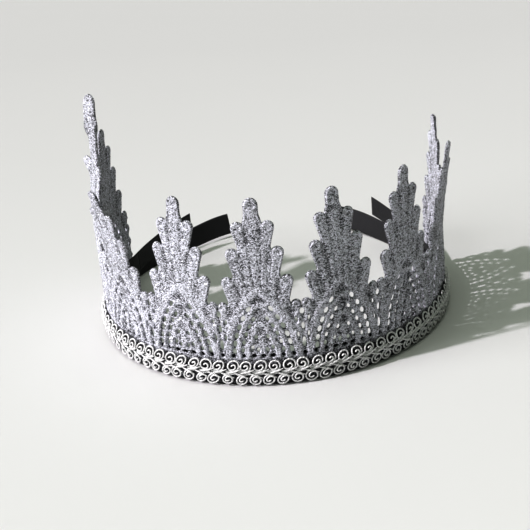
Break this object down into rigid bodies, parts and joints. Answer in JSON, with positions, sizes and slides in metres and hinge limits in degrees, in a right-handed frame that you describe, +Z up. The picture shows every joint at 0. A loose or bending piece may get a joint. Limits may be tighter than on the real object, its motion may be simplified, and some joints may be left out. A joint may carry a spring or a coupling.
{
  "type": "lace crown",
  "caption": "Open-backed crown of stepped, pointed metallic lace on a ring of gimp braid and dark ribbon, with short free ribbon ends at the back.",
  "frame": {"origin": "on the surface the crown stands on, at the middle of its bounding box in plan, which is the axis of the round ring", "axes": "+Z up along the ring's axis; -Y is the front, where the middle lace point stands; +X is to the right as seen from the front"},
  "size_m": [0.168, 0.1684, 0.105],
  "materials": {
    "silver_lace": "stiffened guipure lace of silver metallic thread, glittery",
    "silver_gimp": "twisted silver metallic cord, bright",
    "black_ribbon": "black grosgrain ribbon, soft sheen",
    "black_thread": "black sewing thread"
  },
  "bodies": {
    "crown_band": {"lace_point_1": "silver_lace", "lace_point_2": "silver_lace", "lace_point_3": "silver_lace", "lace_point_4": "silver_lace", "lace_point_5": "silver_lace", "lace_point_6": "silver_lace", "lace_point_7": "silver_lace", "lace_point_8": "silver_lace", "lace_point_9": "silver_lace", "outer_base_ribbon": "black_ribbon", "inner_base_ribbon": "black_ribbon", "gimp_plait": "silver_gimp", "gimp_lower_scrolls": "silver_gimp", "gimp_upper_scrolls": "silver_gimp", "lower_stitch_row": "black_thread", "upper_stitch_row": "black_thread", "left_end_tack": "black_thread", "right_end_tack": "black_thread"},
    "left_tie_end": {"left_tie": "black_ribbon"},
    "left_tab_end": {"left_tab": "black_ribbon"},
    "right_tie_end": {"right_tie": "black_ribbon"},
    "right_tab_end": {"right_tab": "black_ribbon"}
  },
  "joints": [
    {"name": "left_tie_fold", "type": "hinge", "parent": "crown_band", "child": "left_tie_end", "pos_m": [-0.07477, 0.03231, 0.005], "axis": [0, 0, 1], "range_deg": [-50, 60]},
    {"name": "left_tab_fold", "type": "hinge", "parent": "left_tie_end", "child": "left_tab_end", "pos_m": [-0.07232, 0.03323, 0.008], "axis": [0, 0, 1], "range_deg": [-60, 0]},
    {"name": "right_tie_fold", "type": "hinge", "parent": "crown_band", "child": "right_tie_end", "pos_m": [0.07477, 0.03231, 0.005], "axis": [0, 0, 1], "range_deg": [-60, 50]},
    {"name": "right_tab_fold", "type": "hinge", "parent": "right_tie_end", "child": "right_tab_end", "pos_m": [0.07232, 0.03323, 0.008], "axis": [0, 0, 1], "range_deg": [0, 60]}
  ]
}
